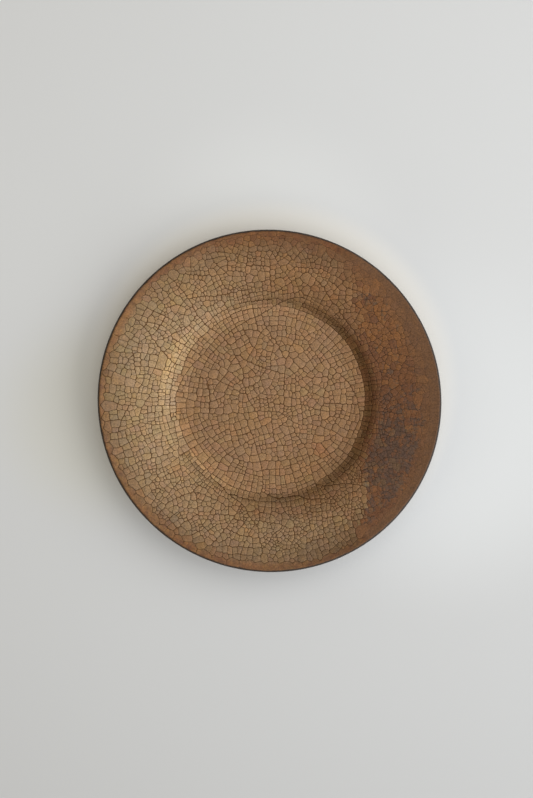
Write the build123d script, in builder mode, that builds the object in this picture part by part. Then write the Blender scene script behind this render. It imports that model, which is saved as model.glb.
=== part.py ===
"""A wide-rimmed stoneware plate with a crackled bronze glaze, in millimetres.

The plate stands on the plane z = 0 on its foot ring, centred on the Z axis, face up.
Every piece is a body of revolution. Skins of glaze are lifted copies of the clay's own
upper and lower lines, so each one meets what it lies on face to face.
"""

import os

from build123d import *

# Whole plate
plate_diameter = 240.0

# Foot ring
foot_diameter = 118.0  # across the middle of the ring's flat bottom
foot_width = 5.5  # flat part that stands on the table
foot_height = 6.0  # table to the underside of the floor
foot_flare = 1.2  # how much wider each side is where it meets the clay
foot_edge_round = 1.2

# Clay of the well and the rim
floor_thickness = 5.0
well_diameter = 135.4  # where the floor turns up into the wall
dish_run = 9.7  # width of the border where the floor already lifts a little
dish_rise = 0.95
wall_run = 6.0  # width of the steep wall, seen from above
wall_rise = 4.25
rim_rise = 9.6  # from the brow of the wall to the lip
lip_thickness = 3.4
lip_round = 1.5
dish_round = 60.0  # slow curve where the flat of the floor ends
well_round = 8.0  # hollow curve between floor and wall
brow_round = 12.0  # swelling curve between wall and rim

# Underside of the clay
shoulder_width = 3.0  # flat ledge between the foot ring and the belly
belly_run = 12.0  # from the shoulder out to the knee
knee_thickness = 5.2  # clay over the knee
shoulder_round = 4.0
knee_round = 14.0

# Glaze coats, measured straight up or down
ground_coat = 0.5  # iron-brown under-coat, and the same coat on the back
crackle_coat = 0.8  # bronze crackled coat over it
lip_coat = 0.9  # iron band outside the clay, measured across
lip_reach = 3.0  # how far in from the edge the iron band covers the clay
crackle_edge_round = 0.5
bare_clay = 1.5  # clay left dry beside the foot ring, for the kiln shelf

# Levels and radii that follow from the sizes above
plate_radius = plate_diameter / 2
clay_radius = plate_radius - lip_coat
coat_radius = plate_radius - lip_reach
well_radius = well_diameter / 2
brow_radius = well_radius + wall_run
flat_radius = well_radius - dish_run
floor_level = foot_height + floor_thickness
wall_foot_level = floor_level + dish_rise
brow_level = wall_foot_level + wall_rise
lip_level = brow_level + rim_rise
rim_slope = rim_rise / (clay_radius - brow_radius)

foot_inner_radius = foot_diameter / 2 - foot_width / 2
foot_outer_radius = foot_diameter / 2 + foot_width / 2
foot_root_inner = foot_inner_radius - foot_flare
foot_root_outer = foot_outer_radius + foot_flare
shoulder_radius = foot_root_outer + shoulder_width
knee_radius = shoulder_radius + belly_run


def upper_level(radius):
    """Height of the rim's straight upper line at a radius outside the brow."""
    return brow_level + (radius - brow_radius) * rim_slope


knee_level = upper_level(knee_radius) - knee_thickness
lip_under_level = lip_level - lip_thickness
belly_slope = (lip_under_level - knee_level) / (clay_radius - knee_radius)


def lower_level(radius):
    """Height of the rim's straight lower line at a radius outside the knee."""
    return knee_level + (radius - knee_radius) * belly_slope


def face_points(lift, end_radius):
    """Corners of the clay's upper line, lifted, from the middle of the well outwards."""
    return [
        (0, floor_level + lift),
        (flat_radius, floor_level + lift),
        (well_radius, wall_foot_level + lift),
        (brow_radius, brow_level + lift),
        (end_radius, upper_level(end_radius) + lift),
    ]


def back_points(drop, start_radius, end_radius):
    """Corners of the clay's lower line, dropped, from a start radius outwards."""
    return [
        (start_radius, foot_height - drop),
        (shoulder_radius, foot_height - drop),
        (knee_radius, knee_level - drop),
        (end_radius, lower_level(end_radius) - drop),
    ]


def draw_face_line(lift, end_radius):
    """Draw the upper line in the current BuildLine, with its hollows and its brow."""
    points = face_points(lift, end_radius)
    FilletPolyline(*points, radius=[dish_round, well_round, brow_round])


def draw_back_line(drop, start_radius, end_radius):
    """Draw the lower line in the current BuildLine, with its shoulder and its knee."""
    points = back_points(drop, start_radius, end_radius)
    FilletPolyline(*points, radius=[shoulder_round, knee_round])


# The thrown plate: well, wall and rim in one piece of clay
with BuildPart() as clay_body:
    with BuildSketch(Plane.XZ) as clay_section:
        with BuildLine():
            draw_face_line(0, clay_radius)
            Line((clay_radius, lip_level), (clay_radius, lip_under_level))
            draw_back_line(0, 0, clay_radius)
            Line((0, foot_height), (0, floor_level))
        make_face()
        fillet(clay_section.vertices().group_by(Axis.X)[-1], radius=lip_round)
    revolve(axis=Axis.Z)

# The ring it stands on, joined to the flat underside of the floor
with BuildPart() as foot_ring:
    with BuildSketch(Plane.XZ) as foot_section:
        with BuildLine():
            Polyline(
                (foot_inner_radius, 0),
                (foot_outer_radius, 0),
                (foot_root_outer, foot_height),
                (foot_root_inner, foot_height),
                close=True,
            )
        make_face()
        fillet(foot_section.vertices().group_by(Axis.Y)[0], radius=foot_edge_round)
    revolve(axis=Axis.Z)

# Iron-brown coat over the whole face, seen in the cracks and where the top coat is thin
with BuildPart() as ground_glaze:
    with BuildSketch(Plane.XZ):
        with BuildLine():
            draw_face_line(0, coat_radius)
            draw_face_line(ground_coat, coat_radius)
            Line((0, floor_level), (0, floor_level + ground_coat))
            Line(
                (coat_radius, upper_level(coat_radius)),
                (coat_radius, upper_level(coat_radius) + ground_coat),
            )
        make_face()
    revolve(axis=Axis.Z)

# Bronze crackled coat over the iron-brown one
crackle_top = ground_coat + crackle_coat
with BuildPart() as crackle_glaze:
    with BuildSketch(Plane.XZ) as crackle_section:
        with BuildLine():
            draw_face_line(ground_coat, coat_radius)
            draw_face_line(crackle_top, coat_radius)
            Line((0, floor_level + ground_coat), (0, floor_level + crackle_top))
            Line(
                (coat_radius, upper_level(coat_radius) + ground_coat),
                (coat_radius, upper_level(coat_radius) + crackle_top),
            )
        make_face()
        outer_edge = crackle_section.vertices().group_by(Axis.X)[-1]
        fillet(outer_edge.sort_by(Axis.Y)[-1], radius=crackle_edge_round)
    revolve(axis=Axis.Z)

# Iron band that wraps the lip, from the coat on the face to the coat on the back
band_top_inner = upper_level(coat_radius) + ground_coat
band_top_outer = upper_level(plate_radius) + ground_coat
band_under_inner = lower_level(coat_radius) - ground_coat
band_under_outer = lower_level(plate_radius) - ground_coat
with BuildPart() as lip_band:
    with BuildSketch(Plane.XZ) as band_section:
        with BuildLine():
            Polyline(
                (coat_radius, band_top_inner),
                (plate_radius, band_top_outer),
                (plate_radius, band_under_outer),
                (coat_radius, band_under_inner),
                close=True,
            )
        make_face()
        fillet(
            band_section.vertices().group_by(Axis.X)[-1],
            radius=lip_round + ground_coat,
        )
        add(clay_section.sketch, mode=Mode.SUBTRACT)
    revolve(axis=Axis.Z)

# Brown coat on the back, stopping short of the foot ring
back_start_radius = foot_root_outer + bare_clay
with BuildPart() as back_glaze:
    with BuildSketch(Plane.XZ):
        with BuildLine():
            draw_back_line(0, back_start_radius, coat_radius)
            draw_back_line(ground_coat, back_start_radius, coat_radius)
            Line(
                (back_start_radius, foot_height),
                (back_start_radius, foot_height - ground_coat),
            )
            Line(
                (coat_radius, lower_level(coat_radius)),
                (coat_radius, lower_level(coat_radius) - ground_coat),
            )
        make_face()
    revolve(axis=Axis.Z)

# Brown coat in the recess inside the foot ring
base_radius = foot_root_inner - bare_clay
with BuildPart() as base_glaze:
    with BuildSketch(Plane.XY.offset(foot_height)):
        Circle(base_radius)
    extrude(amount=-ground_coat)

pieces = {
    "clay_body": clay_body,
    "foot_ring": foot_ring,
    "ground_glaze": ground_glaze,
    "crackle_glaze": crackle_glaze,
    "lip_band": lip_band,
    "back_glaze": back_glaze,
    "base_glaze": base_glaze,
}

os.makedirs("parts", exist_ok=True)
for label, piece in pieces.items():
    piece.part.label = label
    export_step(piece.part, f"parts/{label}.step")
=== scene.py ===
"""A stoneware plate with a crackled bronze glaze, seen from straight above on a pale floor.

The crackle is grown in plan, in millimetres: one closed outline is cut again and again by
cracks that run from side to side, the way a glaze that shrinks on its pot does, and then
all the cracks relax a little, so that corners pull into soft forks. Each cell becomes a
raised tile of glaze on the iron-brown coat under it. Heights come from the CAD pieces.
"""

import math

import bpy
import numpy as np
from mathutils.bvhtree import BVHTree
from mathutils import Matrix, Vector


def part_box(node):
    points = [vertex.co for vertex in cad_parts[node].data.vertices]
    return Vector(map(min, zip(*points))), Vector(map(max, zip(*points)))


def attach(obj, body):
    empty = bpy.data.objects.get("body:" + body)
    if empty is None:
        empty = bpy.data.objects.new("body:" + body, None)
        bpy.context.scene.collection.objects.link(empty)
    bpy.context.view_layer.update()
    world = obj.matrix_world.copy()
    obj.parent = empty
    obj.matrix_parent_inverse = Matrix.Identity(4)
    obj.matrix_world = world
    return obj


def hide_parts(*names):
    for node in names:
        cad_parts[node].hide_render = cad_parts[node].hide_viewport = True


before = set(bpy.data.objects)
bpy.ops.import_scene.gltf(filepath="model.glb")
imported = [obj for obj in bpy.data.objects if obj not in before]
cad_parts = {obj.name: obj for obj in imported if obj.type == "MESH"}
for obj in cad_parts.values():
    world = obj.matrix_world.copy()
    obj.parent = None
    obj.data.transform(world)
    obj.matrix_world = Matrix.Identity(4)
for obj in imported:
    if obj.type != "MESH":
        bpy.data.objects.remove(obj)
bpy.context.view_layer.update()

MM = 0.001
TAU = 2 * math.pi
rng = np.random.default_rng(7)


# ---------- what the frame says

def ray_heights(node, radii, from_above=True):
    """Heights in mm at which a vertical ray beside the X axis meets a CAD node."""
    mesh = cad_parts[node].data
    tree = BVHTree.FromPolygons(
        [v.co for v in mesh.vertices], [tuple(p.vertices) for p in mesh.polygons])
    start, way = (1.0, -1.0) if from_above else (-1.0, 1.0)
    beside = 1e-6
    heights = []
    for radius in radii:
        spot = tree.ray_cast((radius * MM, beside, start), (0, 0, way))[0]
        heights.append(spot.z / MM)
    return np.array(heights)


def reach(node):
    """Largest radius of a CAD node in mm."""
    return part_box(node)[1][0] / MM


PLATE_R = reach("lip_band")
COAT_R = reach("crackle_glaze")
EDGE = 0.01  # how far inside a node's own edge its outermost height is read
FACE_RADII = np.append(np.arange(0, COAT_R - EDGE, 0.25), COAT_R - EDGE)
FACE_LEVELS = ray_heights("clay_body", FACE_RADII)
COAT_DEPTH = float(ray_heights("crackle_glaze", [30])[0] - ray_heights("ground_glaze", [30])[0])
GROUND_DEPTH = float(ray_heights("ground_glaze", [30])[0] - FACE_LEVELS[0])
FACE_SLOPES = np.gradient(FACE_LEVELS, FACE_RADII)
RIM_SLOPE = float(np.polyfit(FACE_RADII[-80:], FACE_LEVELS[-80:], 1)[0])
RIM_LINE = FACE_LEVELS[-1] + (FACE_RADII - FACE_RADII[-1]) * RIM_SLOPE
WALL_R = float(FACE_RADII[np.argmax(FACE_SLOPES > 0.4)])
BEYOND_FOOT = FACE_RADII > WALL_R
BROW_R = float(FACE_RADII[np.argmax(BEYOND_FOOT & (FACE_LEVELS > RIM_LINE - 0.35))])


def face_level(radius):
    """Height of the clay's upper face at a radius; the rim's line runs on past the coat."""
    inside = np.interp(radius, FACE_RADII, FACE_LEVELS)
    return inside + np.maximum(radius - FACE_RADII[-1], 0) * RIM_SLOPE


# ---------- hand-made unevenness

WELL_DRIFT = (1.2, 0.5)  # how far the well sits off the middle of the rim
DRIFT_ENDS = (0.66, 0.96)  # shares of the plate's radius between which that dies away
OVAL = 0.0050  # how far out of round the lip is, as a share of its radius
OVAL_STARTS = 0.7  # share of the radius within which the plate is round
OVAL_AT = math.radians(146)


def smooth(x, low, high):
    """0 below low, 1 above high, easing between."""
    t = np.clip((x - low) / (high - low), 0, 1)
    return t * t * (3 - 2 * t)


def uneven(points, face=True):
    """Move plan points in mm as the potter's hand did: off-centre well, slightly oval lip."""
    x, y = points.T
    radius = np.hypot(x, y)
    oval = OVAL * np.cos(2 * (np.arctan2(y, x) - OVAL_AT))
    oval = oval * smooth(radius, OVAL_STARTS * PLATE_R, PLATE_R)
    drift = (1 - smooth(radius, DRIFT_ENDS[0] * PLATE_R, DRIFT_ENDS[1] * PLATE_R)) * face
    return np.stack([x * (1 + oval) + drift * WELL_DRIFT[0],
                     y * (1 + oval) + drift * WELL_DRIFT[1]], 1)


def waves(count, shortest, longest, seed):
    """A smooth field over plan points in mm, about -1 to 1, made of crossing waves."""
    pick = np.random.default_rng(seed)
    turn = pick.uniform(0, TAU, count)
    pace = TAU / pick.uniform(shortest, longest, count)
    phase = pick.uniform(0, TAU, count)

    def field(x, y):
        x, y = np.asarray(x)[..., None], np.asarray(y)[..., None]
        along = np.cos(turn) * x + np.sin(turn) * y
        return np.sin(pace * along + phase).sum(-1) / math.sqrt(count)

    return field


def lobe(angle, at, wide):
    """1 where an angle in radians points at `at` degrees, falling off over `wide` degrees."""
    away = (np.degrees(angle) - at + 180) % 360 - 180
    return np.exp(-((away / wide) ** 2))


def hump(x, middle, half):
    """1 where x is at the middle value, falling off over a half width on both sides."""
    return np.exp(-(((x - middle) / half) ** 2))


def spot(x, y, at_x, at_y, size):
    """1 at a place, falling off over a size in mm."""
    return np.exp(-((x - at_x) ** 2 + (y - at_y) ** 2) / size ** 2)


def polar(radius, angle):
    """The plan point at a radius and an angle in radians."""
    return radius * np.array([math.cos(angle), math.sin(angle)])


def ramp(x, low, high):
    """0 below low, 1 above high, straight between, for one number."""
    return min(1.0, max(0.0, (x - low) / (high - low)))


# ---------- the crack network

STEP = 0.9  # spacing of the points along a crack
MOST_STEPS = 500  # after these a crack is given up
STRIP_R = PLATE_R - 1.3  # where the coat ends and the iron lip shows
RING_CRACKS = (WALL_R - 1.2, 0.5 * (WALL_R + BROW_R) + 0.8, WALL_R - 8.0, WALL_R - 14.5)


def area(c):
    x, y = c.T
    return 0.5 * (np.dot(x, np.roll(y, -1)) - np.dot(y, np.roll(x, -1)))


def centroid(c):
    x, y = c.T
    x1, y1 = np.roll(x, -1), np.roll(y, -1)
    cross = x * y1 - x1 * y
    return np.array([((x + x1) * cross).sum(), ((y + y1) * cross).sum()]) / (3 * cross.sum())


def perimeter(c):
    return np.hypot(*(np.roll(c, -1, 0) - c).T).sum()


def long_axis(c):
    away = c - c.mean(0)
    vectors = np.linalg.eigh(away.T @ away)[1]
    return math.atan2(vectors[1, 1], vectors[0, 1])


def leanness(c):
    """1 for a square cell, more for a long or ragged one."""
    return perimeter(c) ** 2 / (16 * max(abs(area(c)), 1e-6))


BORDER = 22  # width of the well's border, in which cracks come to keep to rings and spokes
BORDER_EASE = 11


def grain(x, y):
    """How strictly cracks keep to the plate's rings and spokes at a place, 0 to 1."""
    radius, angle = math.hypot(x, y), math.atan2(y, x)
    start = WALL_R - BORDER - 6 * lobe(angle, 222, 32)
    inner = ramp(radius, start, start + BORDER_EASE)
    outer = 1 - ramp(radius, BROW_R - 3, BROW_R + 5) * (1 - 0.75 * lobe(angle, 188, 35))
    return min(inner, outer)


FLOW_AT = (-22, -24)  # middle of the part of the well where long cracks run side by side
FLOW_WAY = math.radians(18)
FLOW_REACH = (46, 21)


def flow(x, y):
    """How strictly cracks keep to the one direction of the well's lower left, 0 to 1."""
    x, y = x - FLOW_AT[0], y - FLOW_AT[1]
    along = (x * math.cos(FLOW_WAY) + y * math.sin(FLOW_WAY)) / FLOW_REACH[0]
    across = (y * math.cos(FLOW_WAY) - x * math.sin(FLOW_WAY)) / FLOW_REACH[1]
    return math.exp(-along ** 2 - across ** 2)


def first_hit(sides, away, step):
    """Which side of an outline, seen from a step's start, it crosses first, and how far on."""
    cross = step[0] * sides[:, 1] - step[1] * sides[:, 0]
    cross[np.abs(cross) < 1e-12] = 1e-12
    along_step = (away[:, 0] * sides[:, 1] - away[:, 1] * sides[:, 0]) / cross
    along_side = (away[:, 0] * step[1] - away[:, 1] * step[0]) / cross
    met = (along_step > 1e-9) & (along_step <= 1) & (along_side >= 0) & (along_side <= 1)
    if not met.any():
        return None
    side = np.argmin(np.where(met, along_step, 9))
    return side, along_side[side]


def contains(c, sides, p):
    ends = c[:, 1] + sides[:, 1]
    spans = (c[:, 1] > p[1]) != (ends > p[1])
    if not spans.any():
        return False
    x = c[spans, 0] + (p[1] - c[spans, 1]) * sides[spans, 0] / sides[spans, 1]
    return np.count_nonzero(x > p[0]) % 2 == 1


SQUARING = 0.30  # share of the turn towards the nearest crack that one step makes
SQUARING_REACH = 3.0  # mm to that crack, at most
SQUARING_ARC = 1.15  # radians off the heading, at most
STEADYING = 0.10  # share of the turn towards the nearest ring or spoke
FLOW_SHARE = 0.6  # how much of that applies to the flow's own direction
SWAY_KEPT = 0.93  # share of its wandering that a crack keeps from step to step
SNAP = 0.45  # share of a step within which its last point gives way to the outline's


def turn_to_crack(facing, away):
    """The turn that takes a crack squarely onto an older one, where that is close ahead."""
    gaps = away[:, 0] ** 2 + away[:, 1] ** 2
    nearest = np.argmin(gaps)
    if gaps[nearest] >= SQUARING_REACH ** 2:
        return 0.0
    turn = (math.atan2(away[nearest, 1], away[nearest, 0]) - facing + math.pi) % TAU - math.pi
    return SQUARING * turn if abs(turn) < SQUARING_ARC else 0.0


def turn_to_square(off):
    """The turn that brings a direction, given from another one, level or square with it."""
    return round(off / (TAU / 4)) * TAU / 4 - off


def grow_arm(c, sides, start, course, bend, stray):
    """One arm of a crack: the outline's point that it meets, and the points on the way.

    It turns with the plate where the grain is strict, and strays a little everywhere.
    """
    p = np.array(start)
    angle = math.atan2(p[1], p[0])
    sway = 0.0
    run = []
    for _ in range(MOST_STEPS):
        facing = course + sway
        away = c - p
        turn = turn_to_crack(facing, away)
        course += turn
        facing += turn
        step = polar(STEP, facing)
        hit = first_hit(sides, away, step)
        if hit:
            corner = (hit[0] + (hit[1] > 0.5)) % len(c)
            if run and np.hypot(*(c[corner] - run[-1])) < SNAP * STEP:
                run.pop()
            return corner, run
        p = p + step
        run.append(p)
        turned = math.atan2(p[1], p[0])
        swing = (turned - angle + math.pi) % TAU - math.pi
        strict = grain(p[0], p[1])
        course += bend * STEP + strict * (swing + STEADYING * turn_to_square(course - turned))
        flowing = FLOW_SHARE * (1 - strict) * flow(p[0], p[1])
        course += flowing * STEADYING * turn_to_square(course - FLOW_WAY)
        sway = SWAY_KEPT * sway + rng.normal(0, stray)
        angle = turned
    return None


def run_crack(c, start, heading, bend, stray):
    """A crack grown both ways from start: the outline points that it joins, and its own."""
    sides = np.roll(c, -1, 0) - c
    if not contains(c, sides, start):
        return None
    ahead = grow_arm(c, sides, start, heading, bend, stray)
    back = ahead and grow_arm(c, sides, start, heading + math.pi, -bend, stray)
    if not back:
        return None
    i, j = ahead[0], back[0]
    gap = (j - i) % len(c)
    if min(gap, len(c) - gap) < 3:
        return None
    return i, j, back[1][::-1] + [np.array(start)] + ahead[1]


def halves(ring, cut, path):
    """The two closed rings either side of a cut from place j to place i of a ring."""
    i, j = cut
    n = len(ring)
    one = [ring[(i + k) % n] for k in range((j - i) % n + 1)]
    two = [ring[(j + k) % n] for k in range((i - j) % n + 1)]
    return one + list(path), two + list(path)[::-1]


SMALLEST_HALF = 1.5  # square mm
EVEN_SHARE = 0.34  # a cut counts as even when its smaller half has this share of the whole
PLAIN_LEAN = 1.25  # and its halves as compact up to this leanness
UNEVEN_COST, LEAN_COST, SLANT_COST = 7, 4, 0.9


def cut_cost(c, crack, whole):
    """Low for a cut into two even, compact cells; None for one that can't be."""
    i, j, path = crack
    one, two = (np.array(half) for half in halves(list(c), (i, j), path))
    a1, a2 = area(one), area(two)
    if min(a1, a2) < SMALLEST_HALF or abs(a1 + a2 - whole) > 0.02 * whole:
        return None
    lopsided = max(0, EVEN_SHARE - min(a1, a2) / whole)
    lean = max(leanness(one), leanness(two)) - PLAIN_LEAN
    slant = 0
    for end, inward in ((i, path[-1]), (j, path[0])):
        side = c[(end + 1) % len(c)] - c[end - 1]
        way = inward - c[end]
        slant += np.dot(side, way) ** 2 / max(np.dot(side, side) * np.dot(way, way), 1e-9)
    cost = leanness(one) + leanness(two) + UNEVEN_COST * lopsided
    return cost + LEAN_COST * max(0, lean) + SLANT_COST * slant


ring_drift = waves(5, 14, 40, 11)
ring_breaks = waves(6, 12, 36, 12)
cell_patches = waves(9, 12, 40, 23)

RING_REACH = 1200  # square mm; ring cracks cut no larger cell
RING_MARGIN = 2.4  # least distance from a ring crack to the cell's ends
SPOKE_FIRST = 14  # a wider cell is cut by a spoke before a ring
WIDEST_ON_WALL = 7.5  # and one this wide by the wall gets another spoke


def wall_crack(c, whole):
    """Near the wall cracks follow spokes first and then rings, some of them broken off."""
    radii = np.hypot(*c.T)
    if radii.min() < 15 or whole > RING_REACH:
        return None
    middle = centroid(c)
    angle = math.atan2(middle[1], middle[0])
    spread = (np.arctan2(c[:, 1], c[:, 0]) - angle + math.pi) % TAU - math.pi
    width = (spread.max() - spread.min()) * radii.mean()
    for place, ring in enumerate(RING_CRACKS):
        ring += 0.7 * ring_drift(*polar(30, angle))
        if place > 1 and ring_breaks(*polar(ring, angle)) < -0.4:
            continue
        if radii.min() > ring - RING_MARGIN or radii.max() < ring + RING_MARGIN:
            continue
        if width > SPOKE_FIRST and radii.max() - radii.min() < 1.5 * width:
            spoke = angle + rng.uniform(-0.12, 0.12) * width / radii.mean()
            start = polar(np.hypot(*middle), spoke)
            crack = run_crack(c, start, spoke, rng.normal(0, 0.004), 0.02)
        else:
            start = polar(ring, angle)
            crack = run_crack(c, start, angle + TAU / 4, rng.normal(0, 0.006), 0.02)
        if crack and cut_cost(c, crack, whole) is not None:
            worst = max(leanness(np.array(h)) for h in halves(list(c), crack[:2], crack[2]))
            if worst < max(2.0, 1.2 * leanness(c)):
                return crack
    if WALL_R - 9 < radii.mean() < BROW_R and width > WIDEST_ON_WALL:
        return run_crack(c, middle, angle, rng.normal(0, 0.01), 0.03)
    return None


BIG_CELL = 400  # square mm; the early cracks, through such cells, stray more


def free_crack(c, whole):
    """The best of a few cracks across the cell's long way."""
    middle = centroid(c)
    size = math.sqrt(whole)
    across = long_axis(c) + TAU / 4
    big = whole > BIG_CELL
    best, lowest = None, math.inf
    for _ in range(10 if big else 8):
        start = middle + rng.normal(0, 0.15, 2) * size
        way, pull = math.atan2(start[1], start[0]), grain(*start)
        if flow(*start) > pull:
            way, pull = FLOW_WAY, flow(*start)
        if big:
            pull = 0.7 * flow(*start)
        lean = across + rng.normal(0, 0.5) - way
        heading = way + lean + pull * turn_to_square(lean)
        stray = (0.10 if big else 0.06) * (1 - 0.6 * pull)
        crack = run_crack(c, start, heading, rng.normal(0, 0.3) / (size + 2), stray)
        cost = crack and cut_cost(c, crack, whole)
        if cost is None:
            continue
        cost += rng.uniform(0, 0.7)
        if cost < lowest:
            best, lowest = crack, cost
    return best


# Cells that stay larger than their neighbours: place, by what share, and how much more
# orange they are, or greyer below 0.
LONE_CELLS = ((-79, 25, 2.2, 0.2), (36, -35, 1.4, 0.8), (-33, 8, 0.8, 0.0), (4, 24, 0.8, -0.2),
              (-66, -47, 1.4, 0.5), (-20, -12, 1.0, -0.2), (20, 30, 0.9, -0.2))
LONE_SIZE = 4.5
WELL_AREA, BORDER_AREA, WALL_AREA, RIM_AREA = 18, 24, 17, 16  # usual cells, in square mm


def wanted_area(x, y):
    """Area in square mm at which a cell at a place is left whole."""
    radius, angle = math.hypot(x, y), math.atan2(y, x)
    if radius < WALL_R:
        well = WELL_AREA + 3.5 * ramp(radius, 14, 32)
        wanted = well + (BORDER_AREA - well) * ramp(radius, WALL_R - 16, WALL_R - 9)
        wanted *= 1 + 0.25 * flow(x, y)
    else:
        rim = RIM_AREA + 3 * lobe(angle, 175, 30) + 4 * lobe(angle, 60, 35) - 4 * lobe(angle, 305, 40)
        wanted = WALL_AREA + (rim - WALL_AREA) * ramp(radius, BROW_R, BROW_R + 10)
    wanted *= 1 + (0.6 + 0.5 * lobe(angle, 165, 40)) * ramp(radius, STRIP_R - 17, STRIP_R - 8)
    wanted *= 1 + 0.9 * lobe(angle, 5, 45) * ramp(radius, BROW_R + 8, BROW_R + 24)
    for lone_x, lone_y, grown, _ in LONE_CELLS:
        wanted *= 1 + grown * math.exp(-((x - lone_x) ** 2 + (y - lone_y) ** 2) / LONE_SIZE ** 2)
    return wanted * math.exp(0.24 * cell_patches(x, y))


strip_wander = waves(12, 14, 50, 77)
SCALLOP = 7.4  # usual distance along the lip between the cracks that reach towards it


def strip_width(angle):
    """Width of the plain strip along the lip, outside the last of the closed cells."""
    width = 3.2 + 3 * lobe(angle, 219, 11) + 1.5 * lobe(angle, 262, 25) + 2 * lobe(angle, 145, 14)
    width += 4 * lobe(angle, 10, 55) - lobe(angle, 184, 12)
    return max(1.8, width + strip_wander(*polar(STRIP_R, angle)))


def scallop_ends():
    """Angles of the cracks that reach towards the lip, unevenly spaced round the circle."""
    ends = [0.0]
    while ends[-1] < TAU:
        angle = ends[-1]
        span = SCALLOP * (1 + 0.3 * lobe(angle, 215, 25)) * math.exp(rng.normal(0, 0.33))
        ends.append(angle + max(4.5, span) / STRIP_R)
    return [end * TAU / ends[-1] for end in ends]


def crack_force(whole):
    """How wide a crack opens: the early cracks, through large cells, the most."""
    early = ramp(math.log(whole), math.log(35), math.log(700))
    return (0.60 + 0.80 * early) * math.exp(rng.normal(0, 0.34))


def scalloped_edge():
    """Points of the strip's inner edge and of the lip outside it, and where scallops meet."""
    ends = scallop_ends()
    inner, outer, starts = [], [], []
    for left, right in zip(ends, ends[1:]):
        span = (right - left) * STRIP_R
        count = max(8, round(span / STEP))
        bulge = span * rng.uniform(0.10, 0.38)
        starts.append(len(inner))
        for k in range(count):
            angle = left + (right - left) * k / count
            level = STRIP_R - strip_width(angle) - bulge * (math.sin(math.pi * k / count) - 0.5)
            inner.append(polar(level, angle))
            outer.append(polar(STRIP_R, angle))
    return inner, outer, starts


EDGE_FORCE = 0.85  # of the scalloped cracks that bound the plain strip
TEMPER_SPREAD = 0.15  # how unevenly the wish for large cells is passed on at each cut


def grow_network():
    """Points, the force of the crack at each, the cells, and the edge of the plain strip.

    That edge is given as places of points, the lip's points outside them, and where in it
    a crack reaches on towards the lip.
    """
    edge, outer, starts = scalloped_edge()
    inner = list(range(len(edge)))
    points, forces = list(edge), [EDGE_FORCE] * len(edge)
    waiting, cells = [(inner, 1.0)], []
    while waiting:
        ring, temper = waiting.pop()
        c = np.array([points[q] for q in ring])
        whole = area(c)
        wanted = temper * wanted_area(*centroid(c))
        small = whole < 0.95 * wanted or (whole < 1.4 * wanted and rng.uniform() < 0.25)
        crack = None if small else wall_crack(c, whole) or free_crack(c, whole) or free_crack(c, whole)
        if crack is None:
            cells.append(ring)
            continue
        path = list(range(len(points), len(points) + len(crack[2])))
        points += crack[2]
        forces += [crack_force(whole)] * len(path)
        spread = TEMPER_SPREAD * ramp(300 / whole, 1, 2)
        for half in halves(ring, crack[:2], path):
            waiting.append((half, temper * math.exp(rng.normal(0, spread))))
    return np.array(points), np.array(forces), cells, inner, np.array(outer), starts


RELAXING = 15  # rounds
GIVE = 0.5  # share of the way to its neighbours that a free point moves in a round


def relax(points, cells, stiff):
    """Let every crack shorten a little, so that T-shaped corners pull into soft forks."""
    pairs = set()
    for ring in cells:
        pairs.update(tuple(sorted(pair)) for pair in zip(ring, ring[1:] + ring[:1]))
    a, b = np.array(sorted(pairs)).T
    links = np.zeros(len(points))
    np.add.at(links, a, 1)
    np.add.at(links, b, 1)
    give = np.array([GIVE * (1 - 0.7 * grain(*p)) * (1 - 0.5 * flow(*p)) for p in points])
    give *= 1 - 0.4 * hump(np.hypot(*points.T), WALL_R, 14)
    give[stiff] *= 0.15
    give[links == 0] = 0
    for _ in range(RELAXING):
        total = np.zeros_like(points)
        np.add.at(total, a, points[b])
        np.add.at(total, b, points[a])
        mean = total / np.maximum(links, 1)[:, None]
        points = points + give[:, None] * (mean - points)
    return points


# ---------- colour by place

tone_patches = waves(8, 18, 60, 41)
plum_patches = waves(14, 4, 16, 42)
rust_edge = waves(12, 7, 30, 43)
hue_patches = waves(24, 5, 14, 45)
pink_patches = waves(24, 5, 16, 47)
rust_glow = waves(18, 5, 18, 46)
strip_mottle = waves(16, 3, 12, 44)

WELL_TAN = (0.263, 0.149, 0.072)
STRAW = (0.318, 0.208, 0.108)
OCHRE = (0.236, 0.126, 0.056)
UMBER = (0.262, 0.162, 0.083)
RUST = (0.154, 0.065, 0.028)
ORANGE = (0.212, 0.090, 0.030)
OLIVE = (0.145, 0.073, 0.0345)
IRON = (0.145, 0.066, 0.021)
IRON_PLUM = (0.095, 0.050, 0.032)

# What each of these does to the coat's red, green and blue.
STRIP_TAN = (0.785, 0.61, 0.495)
MOTTLING = (0.10, 0.09, 0.05)
SMUDGE_CAST = (0.70, 0.76, 0.85)
TONE_SHIFT = (0.018, 0.004, -0.064)
PINK_SHIFT = (0.014, -0.021, -0.004)
LONE_SHIFT = (0.10, -0.12, -0.28)
RARE_WARM = (1.08, 1.0, 0.9)
RARITY = 30  # about one cell in so many is clearly warmer
LEANING_CAST = (0.2, 0.6, 1.0)
RUST_JITTER = 9  # how far in mm a cell's own place against the rust's edge is shifted

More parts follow.
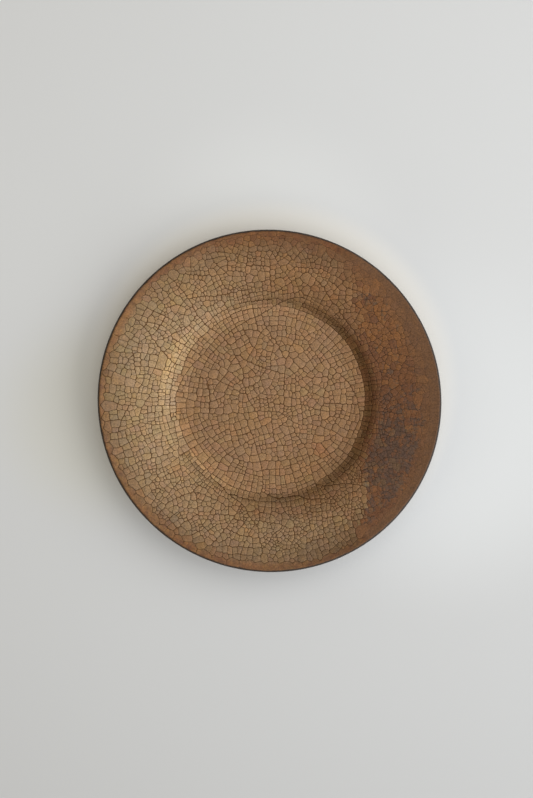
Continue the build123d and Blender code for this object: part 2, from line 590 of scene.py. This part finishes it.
# Painted highlight and painted shade on the well's border, the wall and the brow: how much paler or
# darker the coat is made where light falls on it or where it lies in shade. Radius and half width of a
# ring in mm, and for each place in it the angle and width in degrees and the amount.
PAINTED_WALL_LIGHT = (
    (47, 13, ((322, 52, -0.09),)),
    (WALL_R - 0.5, 1.4, ((210, 16, 0.20),)),
    (WALL_R - 5, 4.5, ((200, 60, 0.12), (97, 34, 0.10), (318, 40, -0.18))),
    (WALL_R, 2.3, ((208, 46, 0.17), (102, 26, 0.13), (350, 60, -0.25), (268, 14, -0.16),
                   (57, 18, -0.10), (27, 20, -0.17), (240, 14, 0.12))),
    (WALL_R + 3.6, 2.2, ((148, 30, 0.18), (245, 20, 0.16), (298, 18, 0.08), (211, 24, -0.32),
                         (5, 55, -0.42))),
    (BROW_R + 2.8, 3.2, ((158, 34, 0.36), (35, 80, -0.16), (325, 45, -0.12), (268, 30, -0.12))),
    (STRIP_R - 5, 4, ((150, 18, 0.08), (240, 18, -0.06))),
    (BROW_R + 9, 5, ((350, 35, -0.14), (298, 24, -0.14), (90, 40, -0.07), (258, 26, -0.10))),
)
# And, told in the same way, where it leans towards orange, above 0, or grey, below 0.
LEANINGS = (
    (50, 10, ((322, 34, 0.12), (270, 20, 0.05))),
    (WALL_R - 5, 5, ((135, 36, -0.12), (2, 26, 0.10))),
    (WALL_R - 1, 2.2, ((10, 34, 0.16), (196, 26, 0.14))),
    (WALL_R + 2.5, 3, ((115, 70, -0.10), (292, 50, -0.18))),
    (BROW_R + 2, 2.5, ((120, 50, -0.10),)),
    (BROW_R + 8, 7, ((64, 20, 0.10), (305, 22, 0.11), (122, 22, -0.10), (332, 16, 0.10))),
    (BROW_R + 17, 5, ((30, 18, -0.09), (305, 20, 0.06))),
    (BROW_R + 26, 9, ((72, 28, 0.10), (195, 24, 0.08))),
    (BROW_R + 32, 5, ((30, 20, -0.12),)),
)
# Middle and size in mm of the few dark smudges.
SMUDGES = ((-58.5, -91, 3.2), (-68, -82, 2.6), (-88, 28, 3.4), (-104, -52, 2.4), (-50, -99, 2.2))


def blend(a, b, share):
    return a + np.subtract(b, a) * np.clip(share, 0, 1)[..., None]


def rustiness(x, y):
    """0 on the bronze part of the face, 1 on the rusty right-hand rim."""
    upper = smooth(y, -25, 45)
    edge = 66 - 8 * upper + 2.2 * rust_edge(x, y)
    across = smooth(x - edge, -3.5 - 7 * upper, 3.5 + 7 * upper)
    return across * smooth(np.hypot(x, y), WALL_R, BROW_R + 2)


def by_lip(radius, angle):
    """0 on the open rim, 1 on the strip along the lip, which is wider on the right."""
    wide = 9 + 12 * lobe(angle, 10, 45) + 3 * lobe(angle, 88, 24) + 3 * lobe(angle, 228, 28)
    return smooth(radius, STRIP_R - wide, STRIP_R - 0.2 * wide)


def plum_share(x, y, melt, chance):
    """How much of the glaze is spotted with plum; melt is 1 by a crack, 0 in mid-cell."""
    radius, angle = np.hypot(x, y), np.arctan2(y, x)
    share = 0.14 + 0.70 * lobe(angle, -24, 26) + 0.12 * plum_patches(x, y)
    share = share + 0.25 * lobe(angle, 50, 16) * smooth(radius, BROW_R + 12, BROW_R + 26)
    share = share + 0.25 * melt + 0.45 * (chance - 0.5)
    share = share * smooth(radius, BROW_R - 1, BROW_R + 9) * (1 - 0.8 * by_lip(radius, angle))
    return np.clip(share * rustiness(x, y), 0, 1)


def in_rings(rings, radius, angle):
    """The amount that a table of rings and the places in them adds up to, as one column."""
    total = 0 * radius
    for ring, half, places in rings:
        amount = sum(much * lobe(angle, at, wide) for at, wide, much in places)
        total = total + amount * hump(radius, ring, half)
    return total[..., None]


def painted_wall_shading(radius, angle):
    """Painted highlight and painted shade on the wall: a factor on the coat's colour for each channel,
    paler and yellower in light, darker and greyer in shade.
    """
    change = in_rings(PAINTED_WALL_LIGHT, radius, angle)
    return np.where(change > 0, 1 + change * (1, 0.92, 0.65), 1 + change * (1, 1.15, 1.4))


def smudge(x, y):
    """0 on the clean coat, 1 where it is smudged dark and grey."""
    return np.clip(sum(spot(x, y, *place) for place in SMUDGES), 0, 1)


def bronze_colour(radius, angle):
    """The bronze coat by place: a tan well, and a rim of straw, ochre and umber round it."""
    rim = blend(OCHRE, STRAW, 1.1 * lobe(angle, 180, 62))
    rim = blend(rim, UMBER, lobe(angle, 275, 42) * smooth(radius, BROW_R, BROW_R + 14))
    base = blend(WELL_TAN, rim, smooth(radius, WALL_R - 3, WALL_R + 3))
    # painted highlight and painted shade on the wall, its foot and its brow
    return base * painted_wall_shading(radius, angle)


def lip_toned(base, mottle, radius, angle):
    """The coat as it darkens outwards, and as the tan, mottled strip along the lip."""
    fade = smooth(radius, BROW_R + 18, STRIP_R - 6)
    fade = fade * (1 + 0.6 * lobe(angle, 302, 24) + 0.5 * lobe(angle, 182, 26)
                   + 0.4 * lobe(angle, 85, 24) - 0.4 * lobe(angle, 240, 20))
    base = base * (1 - 0.22 * fade)[..., None]
    bright = 1 + 0.06 * lobe(angle, 270, 22) + 0.18 * lobe(angle, 92, 24) + 0.14 * lobe(angle, 178, 40)
    strip = bright[..., None] * STRIP_TAN + mottle[..., None] * MOTTLING
    return blend(base, base * strip, by_lip(radius, angle))


def cell_toned(base, x, y, chance):
    """The coat with what differs from patch to patch and from cell to cell."""
    tone = 0.6 * tone_patches(x, y) + 0.6 * hue_patches(x, y) + 0.8 * (chance[0] - 0.5)
    pink = pink_patches(x, y) + 0.8 * (chance[2] - 0.5)
    base = base * (1 + (tone[..., None] * TONE_SHIFT + pink[..., None] * PINK_SHIFT))
    for lone_x, lone_y, _, red in LONE_CELLS:
        close = spot(x, y, lone_x, lone_y, LONE_SIZE)[..., None]
        base = base * (1 + red * close * LONE_SHIFT)
    return blend(base, base * RARE_WARM, 0 * x + chance[1] ** RARITY)


def rust_colour(radius, angle, glow):
    """The rusty part of the rim: orange above and where it glows, olive along the lip."""
    orange = 0.7 * lobe(angle, 38, 26) * smooth(radius, BROW_R, BROW_R + 14)
    rust = blend(RUST, ORANGE, orange + glow)
    return blend(rust, OLIVE, 0.9 * by_lip(radius, angle))


def place_colour(x, y, chance):
    """Linear colour of the glaze at a place, painted highlight and shade included, with three random
    numbers for its own tone.
    """
    radius, angle = np.hypot(x, y), np.arctan2(y, x)
    base = lip_toned(bronze_colour(radius, angle), strip_mottle(x, y), radius, angle)
    base = blend(base, base * SMUDGE_CAST, 0.75 * smudge(x, y))
    base = cell_toned(base, x, y, chance)
    glow = 0.5 * rust_glow(x, y) + 0.7 * (chance[0] - 0.5)
    rusty = rustiness(x + RUST_JITTER * (chance[2] - 0.5), y)
    base = blend(base, rust_colour(radius, angle, glow), rusty)
    base = base * (1 - in_rings(LEANINGS, radius, angle) * LEANING_CAST)
    # painted shade: the coat within a few mm of the lip on the right is darkened against the window
    # light that its rounded edge catches
    painted_lip_shade = lobe(angle, 0, 60) * smooth(radius, STRIP_R - 3.2, STRIP_R - 0.4)
    base = base * (1 - 0.24 * painted_lip_shade)[..., None]
    return base * (0.96 + 0.08 * chance[1])


# ---------- meshes

def new_object(name, data):
    made = bpy.data.objects.new(name, data)
    bpy.context.collection.objects.link(made)
    return made


def make_piece(name, vertices, faces, node, material, colours=None):
    """A mesh from points in mm, riding on the plate and standing for a CAD node."""
    mesh = bpy.data.meshes.new(name)
    mesh.from_pydata((np.asarray(vertices) * MM).tolist(), [], faces)
    mesh.validate()
    mesh.polygons.foreach_set("use_smooth", [True] * len(mesh.polygons))
    if colours is not None:
        layer = mesh.attributes.new("tint", "FLOAT_COLOR", "POINT")
        layer.data.foreach_set("color", np.asarray(colours).ravel())
    piece = new_object(name, mesh)
    mesh.materials.append(material)
    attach(piece, "root")
    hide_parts(node)


# A tile's edge from the foot of its groove to its crown: how far in from the groove's edge,
# and how far under the top of the coat.
TILE_EDGE = ((0.0, COAT_DEPTH + 0.15), (0.03, 0.20), (0.10, 0.05), (0.32, 0.0))
# The coat's colour there, against its middle: dark and warm in the crack, paler beside it.
EDGE_TONE = np.array([(0.84, 0.72, 0.54), (0.90, 0.82, 0.66), (1.10, 1.13, 1.16), (1.04, 1.06, 1.08)])
CRACK_TONE = np.array([0.66, 0.54, 0.44])  # the strip's colour in the middle of a crack
MELT = (0.8, 0.8, 0.7, 0.55, 0.0)  # share of the plum colour at those places and the middle
GROOVE_HALF = 0.070  # half the width of a usual crack
FINEST_HALF = 0.025
TILT, LIFT, DOME = 0.018, 0.03, 0.07  # how unevenly the tiles lie: slope, and height in mm
SUNK = 0.04  # how far the coat lies below the CAD's even one
CORNER_GAPE = 0.8  # how much wider a crack opens where it meets another, as a share

groove_width = waves(20, 2.5, 10, 62)


def openness(x, y):
    """How wide and deep the cracks are at a place: 1 on the bronze, less towards the lip."""
    radius, angle = np.hypot(x, y), np.arctan2(y, x)
    faint = 0.25 + 0.7 * lobe(angle, 18, 62) + 0.3 * lobe(angle, 100, 36) - 0.25 * lobe(angle, 176, 26)
    faint = np.clip(faint, 0, 0.92) * smooth(radius, STRIP_R - 20, STRIP_R - 3)
    rusty = rustiness(x, y) * (0.45 + 0.35 * smooth(radius, BROW_R + 4, BROW_R + 22))
    rusty = rusty * (1 - 0.22 * lobe(angle, 32, 24))
    bold = 1 - 0.10 * lobe(angle, 285, 30) - 0.14 * lobe(angle, 70, 24)
    bold = bold - 0.12 * hump(radius, WALL_R - 5, 7)
    bold = bold - 0.26 * hump(radius, WALL_R + 3, 3.5) * lobe(angle, 84, 24)
    above_brow = 0.22 * lobe(angle, 108, 32) + 0.22 * lobe(angle, 300, 20)
    bold = bold + hump(radius, BROW_R + 8, 9) * above_brow
    return (1 - faint) * (1 - rusty) * bold


def coat_level(points):
    """Height of the CAD's crackled coat at plan points; the rim's line runs on past it."""
    return face_level(np.hypot(*points.T)) + GROUND_DEPTH + COAT_DEPTH


def band(low, high, n):
    """Faces between two closed rings of n points, numbered from low and from high on."""
    return [(low + q, low + (q + 1) % n, high + (q + 1) % n, high + q) for q in range(n)]


def outline_ways(c):
    """Unit vectors along a closed outline and inwards from it, at each of its points."""
    along = np.roll(c, -1, 0) - np.roll(c, 1, 0)
    along = along / np.maximum(np.hypot(*along.T), 1e-9)[:, None]
    return along, np.stack([-along[:, 1], along[:, 0]], 1)


def groove(c, force):
    """The crack along a cell's outline: its depth, 1 at the most, and half its width."""
    deep = openness(*c.T) * np.minimum(1, 0.5 + 0.5 * force)
    half = np.maximum(GROOVE_HALF * force * (1 + 0.5 * groove_width(*c.T)), FINEST_HALF)
    along = np.roll(c, -1, 0) - c
    before = np.roll(along, 1, 0)
    turn = before[:, 0] * along[:, 1] - before[:, 1] * along[:, 0]
    turn = turn / np.maximum(np.hypot(*along.T) * np.hypot(*before.T), 1e-9)
    return deep, (half * deep * (1 + CORNER_GAPE * smooth(turn, 0.3, 0.9)))[:, None]


def tile_faces(n, rings):
    """Faces of a closed tile of rings of n points: underside, bands, and a fan to the peak."""
    faces = [tuple(range(n))[::-1]]
    for low in range(0, (rings - 1) * n, n):
        faces += band(low, low + n, n)
    last = (rings - 1) * n
    return faces + [(last + q, last + (q + 1) % n, last + n) for q in range(n)]


def tile_mesh(c, force):
    """Points and faces of one closed tile inside a cell's outline, and how its tone runs."""
    n = len(c)
    c = 0.04 * np.roll(c, 1, 0) + 0.92 * c + 0.04 * np.roll(c, -1, 0)
    middle = centroid(c)
    deep, half = groove(c, force)
    at_middle = openness(*middle)
    inner_radius = 2 * area(c) / perimeter(c)
    squeeze = min(1.0, 0.8 * inner_radius / (GROOVE_HALF + TILE_EDGE[-1][0]))
    normals = outline_ways(c)[1]
    tilt = rng.normal(0, TILT, 2) * at_middle
    lift = rng.normal(0, LIFT) * at_middle - SUNK
    dome = rng.uniform(0.0, DOME) * at_middle
    rings, tones = [], []
    for (inset, drop), tone in zip(TILE_EDGE, EDGE_TONE):
        flat = c + normals * (half + inset) * squeeze
        top = coat_level(flat) + (flat - middle) @ tilt + lift
        rings.append(np.column_stack([uneven(flat), top - drop * deep]))
        tones.append(1 + (tone - 1) * deep[:, None])
    peak = np.append(uneven(middle[None])[0], coat_level(middle) + lift + dome)
    vertices = np.concatenate(rings + [peak[None]])
    melt = np.append(np.repeat(MELT[:-1], n), MELT[-1])
    tones = np.concatenate(tones + [np.ones((1, 3))])
    return vertices, tile_faces(n, len(rings)), middle, tones, melt


# The strip's rows outwards, as shares of the way to its rounded edge, and the rows of that
# edge: distance from where the coat ends, and drop in mm.
STRIP_SHARES = (0.1, 0.25, 0.45, 0.7)
STRIP_EDGE = ((1.1, 0.0), (0.45, 0.08), (0.12, 0.32), (0.0, 0.85))
# Across a crack that reaches into the strip: how far beside its middle, and share of its depth.
CRACK_SIDES = ((-0.42, 0.0), (-0.12, 0.25), (0.0, 1.0), (0.12, 0.25), (0.42, 0.0))
STRIP_GROOVE = 0.75 * GROOVE_HALF
RAGGED = 0.0011  # how far the coat's outer edge wanders, as a share of its radius

edge_ragged = waves(14, 3, 16, 61)


def strip_cracks(starts, inner):
    """How deep each crack into the strip is and how far it reaches, by place."""
    cracks = {}
    for place in starts:
        angle = math.atan2(inner[place, 1], inner[place, 0])
        if rng.uniform() < 0.25 + 0.6 * lobe(angle, 215, 85):
            cracks[place] = rng.uniform(0.3, 1.0), rng.uniform(0.5, 1.8)
    return cracks


def strip_rows(start, end, away, deep):
    """Rows across the strip at one place: plan point, drop in mm, share of the way out."""
    rows = [(start + away * (STRIP_GROOVE + inset) * (0.3 + 0.7 * deep), drop * deep, 0)
            for inset, drop in TILE_EDGE]
    start = rows[-1][0]
    inward = (start - end) / math.dist(start, end)
    shoulder = end + STRIP_EDGE[0][0] * inward
    rows += [(start + (shoulder - start) * share, 0, share) for share in STRIP_SHARES]
    return rows + [(end + gap * inward, drop, 1) for gap, drop in STRIP_EDGE]


def strip_column(rows, shift, strength, reach, depth):
    """Points down one line across the strip, each with how deep in a crack it lies."""
    column = []
    for flat, drop, share in rows:
        left = strength * min(1.0, max(0.0, 1.5 - 1.5 * share / reach))
        place = flat + shift
        sunk = max(drop, depth * left * COAT_DEPTH)
        column.append((*place, coat_level(place) - SUNK - sunk, depth * left))
    return column


def strip_ring(inner, outer, cracks):
    """The plain strip as a closed ring: points, faces, and how deep in a crack each point is."""
    along, inward = outline_ways(inner)
    deep = openness(*inner.T)
    ragged = outer * (1 + RAGGED * edge_ragged(*outer.T)[:, None])
    columns = []
    for k in range(len(inner)):
        rows = strip_rows(inner[k], ragged[k], -inward[k], deep[k])
        strength, reach = cracks.get(k, (0, 1))
        for beside, depth in CRACK_SIDES if k in cracks else ((0.0, 0.0),):
            columns.append(strip_column(rows, beside * along[k], strength * deep[k], reach, depth))
    grid = np.array(columns)
    count, rows = grid.shape[:2]
    vertices, cracked = grid.reshape(-1, 4)[:, :3], grid.reshape(-1, 4)[:, 3]
    vertices[:, :2] = uneven(vertices[:, :2])
    faces = []
    for k in range(count):
        faces += band(k * rows, (k + 1) % count * rows, rows)
    return vertices, faces, cracked[:, None]


QUARTERS = ("right", "back", "left", "front")
SMALLEST_TILE = 1.2  # square mm


def place_name(middle):
    """The piece that a tile belongs to."""
    if np.hypot(*middle) < WALL_R:
        return "crackle_well"
    angle = math.atan2(middle[1], middle[0])
    return "crackle_rim_" + QUARTERS[int((angle + math.pi / 4) % TAU / (TAU / 4))]


def tile_colours(tile):
    """Colours of a tile's points: one colour for each cell, its edges toned and melted."""
    vertices, _, middle, tones, melt = tile
    chance = rng.uniform(0, 1, 3)
    one = place_colour(middle[:1], middle[1:], chance)
    plum = plum_share(vertices[:, 0], vertices[:, 1], melt, chance[2])
    return np.column_stack([one * tones, plum])


def crackle_pieces(material):
    """Grow the network and make its tiles, gathered into a few pieces by place."""
    points, forces, cells, inner, outer, starts = grow_network()
    points = relax(points, cells, [inner[k] for k in starts])
    groups = {}
    for ring in cells:
        if area(points[ring]) > SMALLEST_TILE:
            tile = tile_mesh(points[ring], forces[ring])
            groups.setdefault(place_name(tile[2]), []).append(tile)
    for name, tiles in groups.items():
        vertices, faces, colours, base = [], [], [], 0
        for tile in tiles:
            vertices.append(tile[0])
            faces += [tuple(base + q for q in face) for face in tile[1]]
            base += len(tile[0])
            colours.append(tile_colours(tile))
        make_piece(name, np.concatenate(vertices), faces, "crackle_glaze",
                   material, np.concatenate(colours))
    edge = points[inner]
    vertices, faces, cracked = strip_ring(edge, outer, strip_cracks(starts, edge))
    x, y = vertices[:, :2].T
    colour = place_colour(x, y, np.full(3, 0.5)) * (1 + cracked * (CRACK_TONE - 1))
    tints = np.column_stack([colour, plum_share(x, y, 0.2, 0.5)])
    make_piece("crackle_edge", vertices, faces, "crackle_glaze", material, tints)


def turned_plan(radii, segments):
    """Plan points on circles of these radii, spoke after spoke."""
    turn = np.arange(segments) * TAU / segments
    return np.stack([np.outer(np.cos(turn), radii), np.outer(np.sin(turn), radii)], -1).reshape(-1, 2)


SPOKES, LIP_SPOKES = 300, 360  # round a disc, and round the lip


def disc_piece(name, radii, top, under, drifts, node, material, tint=None):
    """A closed turned disc from its upper and lower heights in mm at the same radii.

    top may also work them out from the plan points, as tint does the colours. drifts says
    for the upper and the lower side whether it follows the face's drift.
    """
    plan = turned_plan(radii, SPOKES)
    n, vertices, faces = len(radii), [], []
    for heights, drift, flip in ((top, drifts[0], 1), (under, drifts[1], -1)):
        base = sum(len(v) for v in vertices)
        rise = heights(plan) if callable(heights) else np.tile(heights, SPOKES)
        middle = np.append(uneven(np.zeros((1, 2)), drift)[0], rise[0])
        vertices.append(np.vstack([np.column_stack([uneven(plan, drift), rise]), middle]))
        for s in range(SPOKES):
            a, b = base + s * n, base + (s + 1) % SPOKES * n
            faces += [face[::flip] for face in band(a, b, n)[:-1]]
            faces.append((a, b, base + SPOKES * n)[::flip])
    below = SPOKES * n + 1
    for s in range(SPOKES):
        a, b = s * n + n - 1, (s + 1) % SPOKES * n + n - 1
        faces.append((a, below + a, below + b, b))
    colours = None
    if tint:
        upper = tint(np.vstack([plan, [[0, 0]]]))
        colours = np.vstack([upper, upper])
    make_piece(name, np.concatenate(vertices), faces, node, material, colours)


def clay_piece(material):
    """The clay, whose face drifts with the well; the coats hide all but its underside."""
    radii = np.append(np.linspace(0.5, COAT_R, 118), reach("clay_body") - EDGE)
    top = ray_heights("clay_body", radii)
    under = ray_heights("clay_body", radii, from_above=False)
    disc_piece("clay_core", radii, top, under, (1, 0), "clay_body", material)


def ground_piece(material):
    """The iron-brown coat under the crackle, raised where the top coat hardly cracked."""
    radii = np.concatenate([np.linspace(0.5, WALL_R - 4, 40),
                            np.linspace(WALL_R - 3, BROW_R + 6, 30),
                            np.linspace(BROW_R + 7, PLATE_R - 2.2, 46)])

    def top(plan):
        radius = np.hypot(*plan.T)
        rise = 0.3 * rustiness(*plan.T) * COAT_DEPTH * (radius < STRIP_R)
        return face_level(radius) + GROUND_DEPTH + rise

    def tint(plan):
        iron = blend(0 * plan[:, :1] + IRON, IRON_PLUM, rustiness(*plan.T))
        return np.column_stack([iron, 0 * iron[:, 0]])

    under = face_level(radii) + 0.02
    disc_piece("ground_coat", radii, top, under, (1, 1), "ground_glaze", material, tint)


def lip_piece(material):
    """The iron-dark roll around the lip, read from the CAD band's own section."""
    inner = COAT_R + EDGE
    turn = np.linspace(0, TAU / 4, 9)[:-1]  # closer and closer rings towards the nose
    radii = inner + (PLATE_R - 2 * EDGE - inner) * np.sin(turn)
    top = ray_heights("lip_band", radii)
    under = ray_heights("lip_band", radii, from_above=False)
    around = np.concatenate([radii, [PLATE_R], radii[::-1]])
    level = np.concatenate([under, [0.5 * (top[-1] + under[-1])], top[::-1]])
    flat = uneven(turned_plan(around, LIP_SPOKES))
    n, faces = len(around), []
    for s in range(LIP_SPOKES):
        a, b = s * n, (s + 1) % LIP_SPOKES * n
        faces += [(a + q, b + q, b + (q + 1) % n, a + (q + 1) % n) for q in range(n)]
    vertices = np.column_stack([flat, np.tile(level, LIP_SPOKES)])
    make_piece("lip_roll", vertices, faces, "lip_band", material)


# ---------- materials

class Look:
    """A material being put together. noise, mix and span give the new node's socket."""

    def __init__(self, name):
        self.material = bpy.data.materials.new(name)
        self.material.use_nodes = True
        self.tree = self.material.node_tree
        self.shader = self.tree.nodes["Principled BSDF"]
        self.place = self.add("TexCoord")["Object"]

    def feed(self, value, socket):
        """Feed a socket from another one, or give it a number, a place or a linear colour."""
        if isinstance(value, bpy.types.NodeSocket):
            self.tree.links.new(value, socket)
        elif socket.type == "RGBA":
            socket.default_value = (*value, 1)
        else:
            socket.default_value = value

    def add(self, kind, inputs=(), **settings):
        """Outputs of a new node, given its settings and its inputs by name or number."""
        node = self.tree.nodes.new("ShaderNode" + kind)
        for name, setting in settings.items():
            setattr(node, name, setting)
        for name, value in dict(inputs).items():
            self.feed(value, node.inputs[name])
        return node.outputs

    def noise(self, scale, detail, rough=0.55):
        inputs = {"Vector": self.place, "Scale": scale, "Detail": detail, "Roughness": rough}
        return self.add("TexNoise", inputs)["Fac"]

    def mix(self, factor, a, b, blend="MIX"):
        inputs = {0: factor, 6: a, 7: b}
        return self.add("Mix", inputs, data_type="RGBA", blend_type=blend)[2]

    def span(self, value, low, high, to_low, to_high, ease="LINEAR"):
        inputs = {0: value, 1: low, 2: high, 3: to_low, 4: to_high}
        return self.add("MapRange", inputs, interpolation_type=ease)["Result"]

    def bump(self, height, distance, strength, under=None):
        """Rough the surface up, over another bump if one is given; gives the bump's normal."""
        inputs = {"Height": height, "Distance": distance, "Strength": strength}
        if under:
            inputs["Normal"] = under
        normal = self.add("Bump", inputs)["Normal"]
        self.feed(normal, self.shader.inputs["Normal"])
        return normal

    def finish(self, colour, roughness):
        self.feed(colour, self.shader.inputs["Base Color"])
        self.feed(roughness, self.shader.inputs["Roughness"])
        return self.material


PLUM_CAST = (0.66, 0.90, 1.40)  # what the plum spots do to the glaze's colour
WARM_CAST = (1.08, 1.02, 0.84)  # and the two ends of its slow mottling
COOL_CAST = (0.93, 0.97, 1.16)
ROUGHNESS, METALLIC = (0.44, 0.58), 0.65  # of the glaze
SPECK = 0.38  # how much paler or darker the finest specks are


def plum_spots(look, tint):
    """The tint with spots of plum, small and ragged, as many as its alpha asks for."""
    wanted = look.span(tint["Alpha"], 0, 1, -0.78, -0.30)
    over = look.add("Math", {0: look.noise(420, 3, 0.6), 1: wanted})[0]
    cast = look.mix(1, tint["Color"], PLUM_CAST, "MULTIPLY")
    return look.mix(look.span(over, -0.06, 0.16, 0, 1), tint["Color"], cast)


def glaze_material(name):
    """A satin glaze whose colour comes from its tint, broken up by fine mottling."""
    look = Look(name)
    tint = look.add("Attribute", attribute_name="tint")
    fine = look.noise(1050, 2)
    warm = look.mix(look.noise(260, 2), WARM_CAST, COOL_CAST)
    coloured = look.mix(1, plum_spots(look, tint), warm, "MULTIPLY")
    clouds = look.span(look.noise(160, 4), 0.3, 0.7, 0.92, 1.08)
    specks = look.span(fine, 0.3, 0.7, 1 - SPECK, 1 + SPECK)
    light = look.add("Math", {0: clouds, 1: specks}, operation="MULTIPLY")[0]
    scaled = look.add("VectorMath", {0: coloured, "Scale": light}, operation="SCALE")[0]
    look.bump(fine, 0.00004, 0.5)
    look.shader.inputs["Metallic"].default_value = METALLIC
    return look.finish(scaled, look.span(fine, 0.3, 0.7, *ROUGHNESS))


def turned_rings(look):
    """A noise that changes only with the distance from the plate's axis, as turning does."""
    flat = look.add("VectorMath", {0: look.place, 1: (1, 1, 0)}, operation="MULTIPLY")[0]
    radius = look.add("VectorMath", {0: flat}, operation="LENGTH")["Value"]
    inputs = {"W": radius, "Scale": 260, "Detail": 3}
    return look.add("TexNoise", inputs, noise_dimensions="1D")["Fac"]


def clay_material(name, colour, roughness, turned=0.0, mottle=0.3):
    """Clay or a plain glaze: clouded and grained, with the rings of turning where asked."""
    look = Look(name)
    darker = tuple((1 - mottle) * v for v in colour)
    paler = tuple((1 + mottle) * v for v in colour)
    base = look.mix(look.noise(60, 5), darker, paler)
    grained = look.bump(look.noise(1400, 3), 0.0001, 0.6)
    if turned:
        rings = turned_rings(look)
        ringed = look.span(rings, 0.3, 0.7, 1 - 0.35 * turned, 1 + 0.35 * turned)
        base = look.mix(1, base, ringed, "MULTIPLY")
        look.bump(rings, 0.0008 * turned, 0.7, grained)
    return look.finish(base, roughness)


# ---------- floor, light and camera

FLOOR_R, FLOOR_SIDES = 6.0, 96
FLOOR_TONES = (0.637, 0.643, 0.650), (0.667, 0.673, 0.680)  # the two ends of its clouding
# painted shade: the floor is darker in front, where the lamps' light falls off
FLOOR_FRONT_SHADE = (0.54, 0.543, 0.547)  # its colour in front
# Painted light and painted shadow on the floor: painted light at the right and behind, a painted
# shadow at the left, and painted light close round the plate that lightens its shadow. Middle,
# distances at which the patch is full and gone, in metres, and colour.
FLOOR_PAINTED_LIGHT_AND_SHADOW = (
    ((0.125, -0.012, 0), 0.05, 0.155, (0.690, 0.702, 0.712)),
    ((-0.005, 0.105, 0), 0.03, 0.12, (0.71, 0.718, 0.722)),
    ((-0.124, -0.012, 0), 0.03, 0.09, (0.61, 0.605, 0.57)),
    ((0.001, 0.0105, 0), 0.115, 0.138, (0.85, 0.825, 0.775)),
)


def make_floor():
    """A pale table, clouded, with painted light and painted shadow in places and painted shade in
    front.
    """
    mesh = bpy.data.meshes.new("floor")
    edge = np.column_stack([turned_plan([FLOOR_R], FLOOR_SIDES), np.zeros(FLOOR_SIDES)])
    mesh.from_pydata(edge.tolist(), [], [tuple(range(FLOOR_SIDES))])
    look = Look("pale_floor")
    base = look.mix(look.noise(3, 3), *FLOOR_TONES)
    # painted shade, darker towards the front
    front = look.add("SeparateXYZ", {0: look.place})["Y"]
    base = look.mix(look.span(front, -0.30, 0.08, 1, 0), base, FLOOR_FRONT_SHADE)
    # painted light and painted shadow, patch by patch
    for middle, full, gone, colour in FLOOR_PAINTED_LIGHT_AND_SHADOW:
        away = look.add("VectorMath", {0: look.place, 1: middle}, operation="DISTANCE")
        near = look.span(away["Value"], full, gone, 1, 0, "SMOOTHSTEP")
        base = look.mix(near, base, colour)
    mesh.materials.append(look.finish(base, 0.8))
    floor = new_object("floor", mesh)


def area_lamp(name, azimuth, elevation, away, width, height, energy, colour):
    """A soft rectangular lamp that faces the plate, its place given in degrees and metres."""
    data = bpy.data.lights.new(name, "AREA")
    data.shape = "RECTANGLE"
    data.size, data.size_y = width, height
    data.energy = energy
    data.color = colour
    lamp = new_object(name, data)
    azimuth, elevation = math.radians(azimuth), math.radians(elevation)
    lamp.location = (*polar(away * math.cos(elevation), azimuth), away * math.sin(elevation))
    lamp.rotation_euler = (TAU / 4 - elevation, 0, azimuth + TAU / 4)


def make_light():
    area_lamp("skylight", azimuth=-14, elevation=76, away=1.5, width=3.5, height=1.5,
              energy=18.9, colour=(0.98, 1.0, 1.03))
    area_lamp("window", azimuth=-14, elevation=32, away=1.6, width=3.0, height=1.2,
              energy=20.5, colour=(0.93, 1.0, 1.10))
    world = bpy.data.worlds.new("room")
    world.use_nodes = True
    background = world.node_tree.nodes["Background"]
    background.inputs["Color"].default_value = (1.0, 0.91, 0.72, 1)
    background.inputs["Strength"].default_value = 0.36
    bpy.context.scene.world = world


VIEW_HEIGHT = 556.8  # mm from the picture's lower edge to its upper one, at the lip's level
CAMERA_AT = (-0.0021, 0.0013)  # metres off the plate's axis


def make_camera():
    """Straight above the plate, with the lip as wide in the picture as it should be."""
    data = bpy.data.cameras.new("camera")
    data.sensor_width = 36
    data.lens = 60
    camera = new_object("camera", data)
    lip_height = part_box("lip_band")[1][2]
    away = VIEW_HEIGHT * MM * data.lens / data.sensor_width
    camera.location = (*CAMERA_AT, lip_height + away)
    bpy.context.scene.camera = camera


bronze = glaze_material("bronze_crackle_glaze")
ground = glaze_material("iron_ground_glaze")
lip_iron = clay_material("iron_lip_glaze", (0.030, 0.017, 0.010), 0.6)
brown_back = clay_material("brown_back_glaze", (0.085, 0.045, 0.025), 0.38, 0.7, 0.4)
bare_clay = clay_material("bare_dark_clay", (0.075, 0.044, 0.028), 0.85, 1.0)

crackle_pieces(bronze)
ground_piece(ground)
clay_piece(bare_clay)
lip_piece(lip_iron)
for node, material in (("foot_ring", bare_clay), ("back_glaze", brown_back),
                       ("base_glaze", brown_back)):
    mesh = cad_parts[node].data
    mesh.materials.clear()
    mesh.materials.append(material)

make_floor()
make_light()
make_camera()
bpy.context.scene.view_settings.view_transform = "Standard"
